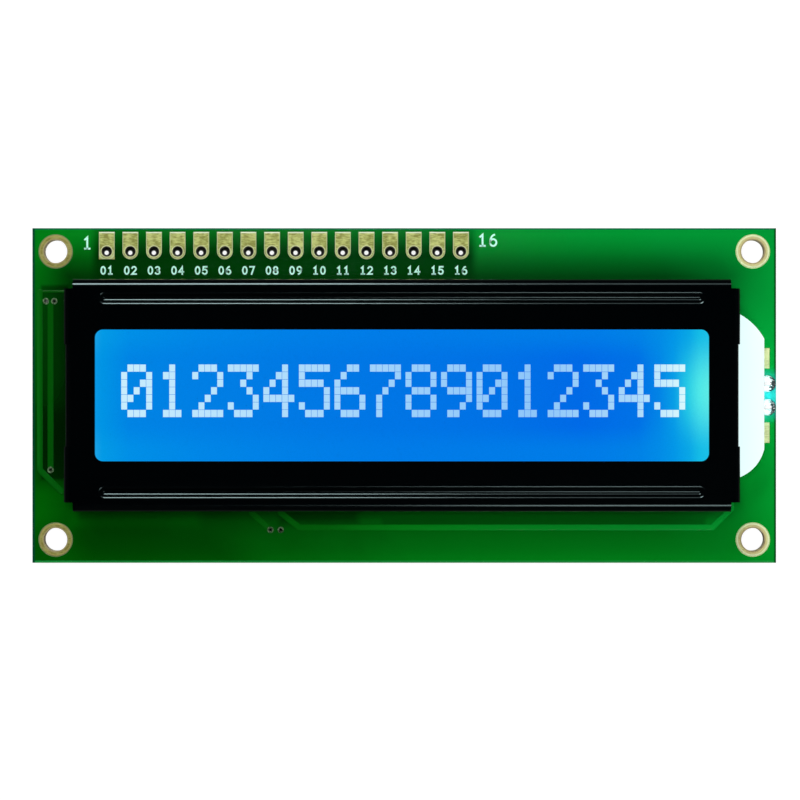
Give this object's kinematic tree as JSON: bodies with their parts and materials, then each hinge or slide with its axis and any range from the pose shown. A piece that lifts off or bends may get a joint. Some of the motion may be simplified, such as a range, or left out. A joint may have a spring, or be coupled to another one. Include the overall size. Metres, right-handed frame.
{
  "type": "character lcd module",
  "caption": "Single-line character display: a long bezelled glass cell, lit from one side, on a drilled board with a row of pin holes.",
  "frame": {"origin": "centre of the four mounting holes, on the rear face of the circuit board", "axes": "+X along the length of the display as it is read, +Y across the board towards the row of pin holes, +Z out of the display's face; the module lies face up"},
  "size_m": [0.08, 0.036, 0.0103],
  "materials": {
    "solder_mask": "green solder mask over glass-fibre board",
    "masked_copper": "copper tracks under green solder mask",
    "gold_plate": "immersion gold over nickel and copper",
    "tin": "bright tin solder",
    "white_film": "white reflecting film",
    "clear_acrylic": "clear moulded acrylic, lit from one end",
    "white_lamp_plastic": "white moulded lamp body",
    "lamp_phosphor": "yellow phosphor over blue chips",
    "diffuser_film": "matt diffusing film",
    "rear_polarizer_film": "dark polarizing film",
    "cell_glass": "thin polished sheet glass",
    "cell_seal": "grey epoxy seal",
    "port_resin": "clear yellowish resin",
    "liquid_crystal": "blue negative liquid crystal layer",
    "display_face": "smooth polarizing film, blue when lit",
    "zebra_rubber": "layered conducting and insulating rubber",
    "black_paint": "glossy black paint on folded steel",
    "black_resin": "black epoxy poured over the chip",
    "resistor_glaze": "black glaze on ceramic",
    "capacitor_ceramic": "brown fired ceramic",
    "printing_ink": "pale screen-printed ink, on pieces that only the dressed model has",
    "bare_laminate": "pale glass-fibre laminate where the solder mask is open, on pieces that only the dressed model has"
  },
  "bodies": {
    "root": {"circuit_board": "solder_mask", "front_tracks": "masked_copper", "mounting_hole_plating": "gold_plate", "pin_hole_plating": "gold_plate", "via_plating": "masked_copper", "contact_fingers": "gold_plate", "spare_lamp_pads": "gold_plate", "lead_hole_plating": "tin", "reflector_film": "white_film", "light_guide": "clear_acrylic", "ear_film": "white_film", "lamp_body": "white_lamp_plastic", "lamp_chips": "lamp_phosphor", "lamp_leads": "tin", "lead_solder": "tin", "diffuser_film": "diffuser_film", "rear_polarizer": "rear_polarizer_film", "rear_glass": "cell_glass", "cell_seal": "cell_seal", "port_plug": "port_resin", "liquid_crystal": "liquid_crystal", "front_glass": "cell_glass", "front_polarizer": "display_face", "upper_zebra_strip": "zebra_rubber", "lower_zebra_strip": "zebra_rubber", "bezel": "black_paint", "controller_cover": "black_resin", "driver_cover": "black_resin", "resistor_bodies": "resistor_glaze", "capacitor_bodies": "capacitor_ceramic", "component_ends": "tin", "component_solder": "tin"}
  },
  "joints": []
}
